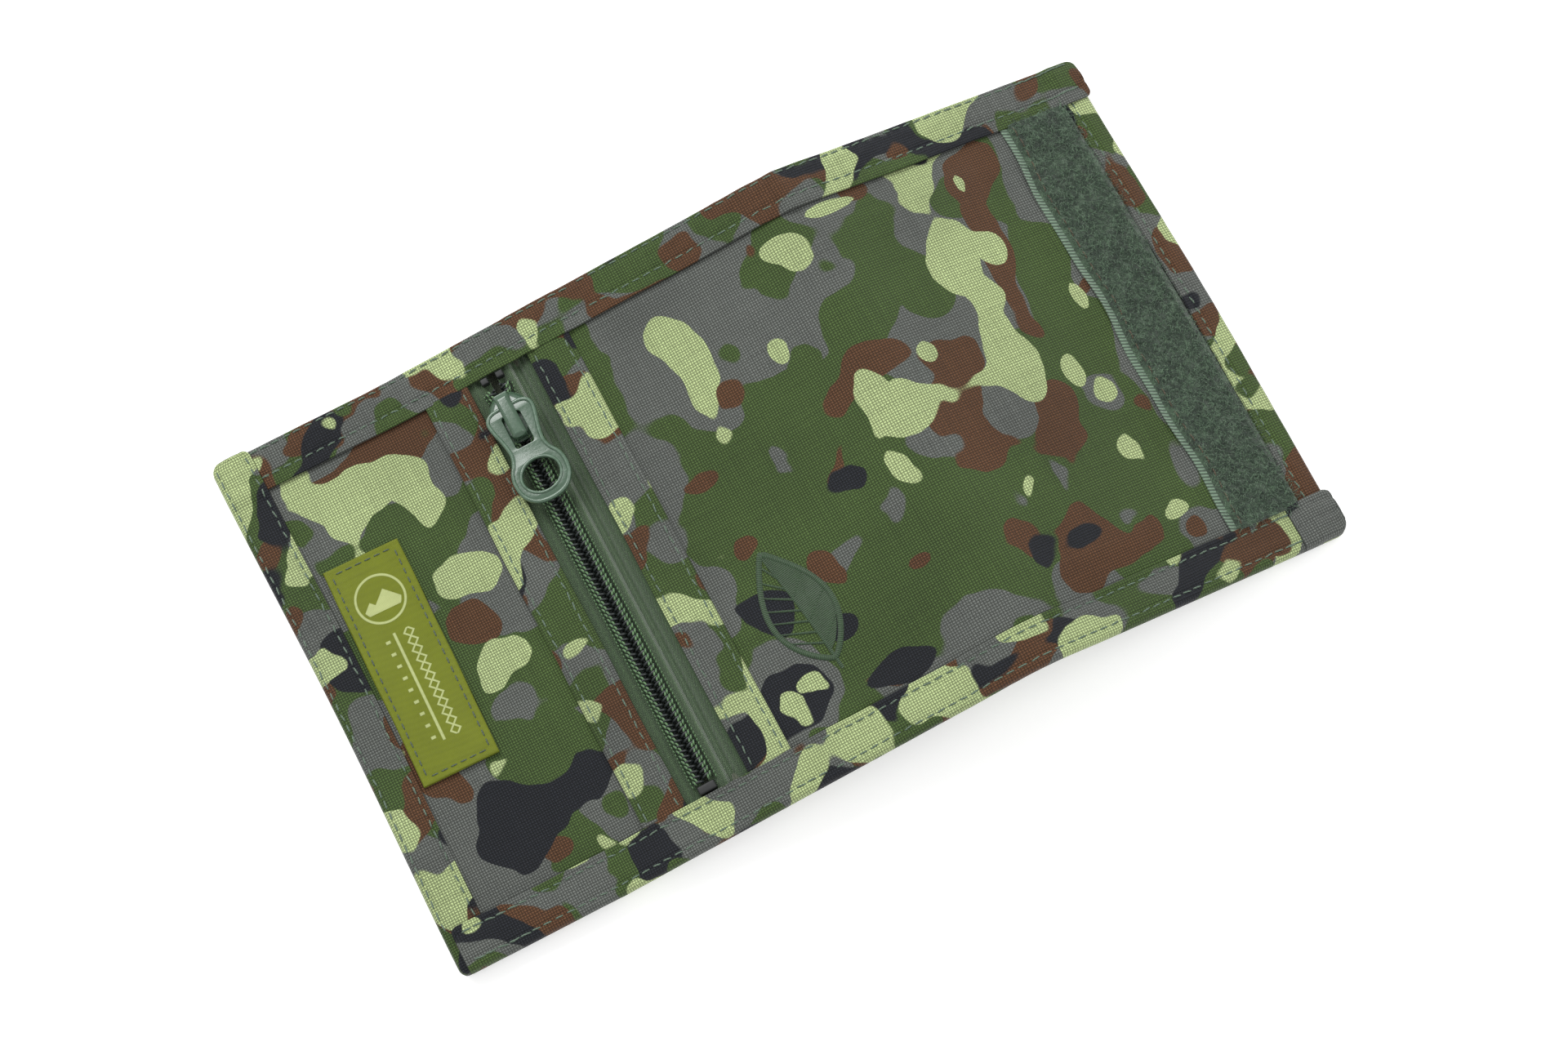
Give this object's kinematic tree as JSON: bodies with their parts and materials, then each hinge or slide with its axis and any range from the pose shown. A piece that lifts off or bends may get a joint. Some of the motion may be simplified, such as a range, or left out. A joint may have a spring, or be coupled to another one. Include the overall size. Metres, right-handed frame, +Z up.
{
  "type": "trifold wallet",
  "caption": "Opened trifold wallet of camouflage cloth with a zipped coin pocket, bound edges, card and bill pockets inside, and a hook-and-loop closing flap.",
  "frame": {"origin": "centre of the base of the bounding box, on the table the opened wallet lies on", "axes": "+Z up out of the outer face, +X from the closure flap to the free edge with the loop tape, +Y towards the wallet's top edge; both folds run along Y"},
  "size_m": [0.22, 0.13, 0.0219],
  "materials": {
    "camouflage_cloth": "plain-woven coated polyester, printed in five camouflage colours",
    "binding_cloth": "folded strips of the same printed cloth, stitched",
    "lining_cloth": "fine matt nylon lining",
    "zip_tape": "herringbone-woven polyester tape",
    "zip_coil": "dark nylon coil",
    "slider_enamel": "glossy grey-green enamel on die-cast zinc",
    "hook_and_loop": "napped loop pile and hook tape",
    "woven_label": "satin-woven label",
    "embroidery_thread": "glossy satin-stitched thread",
    "clear_film": "clear soft vinyl film"
  },
  "bodies": {
    "back_panel": {"back_cloth_left": "camouflage_cloth", "back_cloth_main": "camouflage_cloth", "placket_left": "binding_cloth", "placket_right": "binding_cloth", "back_binding_top": "binding_cloth", "back_binding_bottom": "binding_cloth", "embroidered_badge": "embroidery_thread", "zip_tape_left": "zip_tape", "zip_tape_right": "zip_tape", "zip_coil_left": "zip_coil", "zip_coil_right": "zip_coil", "zip_top_stop_left": "zip_coil", "zip_top_stop_right": "zip_coil", "zip_bottom_stop": "zip_coil", "coin_pocket_bag": "lining_cloth", "back_lining": "lining_cloth", "back_bill_wall": "camouflage_cloth", "card_pocket_1": "camouflage_cloth", "card_pocket_2": "camouflage_cloth", "card_pocket_3": "camouflage_cloth"},
    "closure_flap": {"flap_cloth": "camouflage_cloth", "flap_lining": "lining_cloth", "woven_label": "woven_label", "hook_tape": "hook_and_loop", "binding_left": "binding_cloth", "flap_binding_top": "binding_cloth", "flap_binding_bottom": "binding_cloth"},
    "front_panel": {"front_cloth": "camouflage_cloth", "front_lining": "lining_cloth", "front_bill_wall": "camouflage_cloth", "id_window_film": "clear_film", "id_window_trim": "binding_cloth", "loop_tape": "hook_and_loop", "binding_right": "binding_cloth", "front_binding_top": "binding_cloth", "front_binding_bottom": "binding_cloth"},
    "zip_slider": {"slider_body": "slider_enamel"},
    "zip_puller": {"puller": "slider_enamel"}
  },
  "joints": [
    {"name": "flap_fold", "type": "hinge", "parent": "back_panel", "child": "closure_flap", "pos_m": [-0.06859, 0, -0.00276], "axis": [0, -1, 0], "range_deg": [-15, 179]},
    {"name": "front_fold", "type": "hinge", "parent": "back_panel", "child": "front_panel", "pos_m": [0.03075, 0, 0.01583], "axis": [0, 1, 0], "range_deg": [-37, 157.7]},
    {"name": "zip_slide", "type": "slide", "parent": "back_panel", "child": "zip_slider", "axis": [0, 1, 0], "range_m": [-0.0884, 0.0035]},
    {"name": "puller_flip", "type": "hinge", "parent": "zip_slider", "child": "zip_puller", "pos_m": [-0.04556, 0.0434, 0.01336], "axis": [-0.9885, 0, -0.1513], "range_deg": [0, 165]}
  ]
}
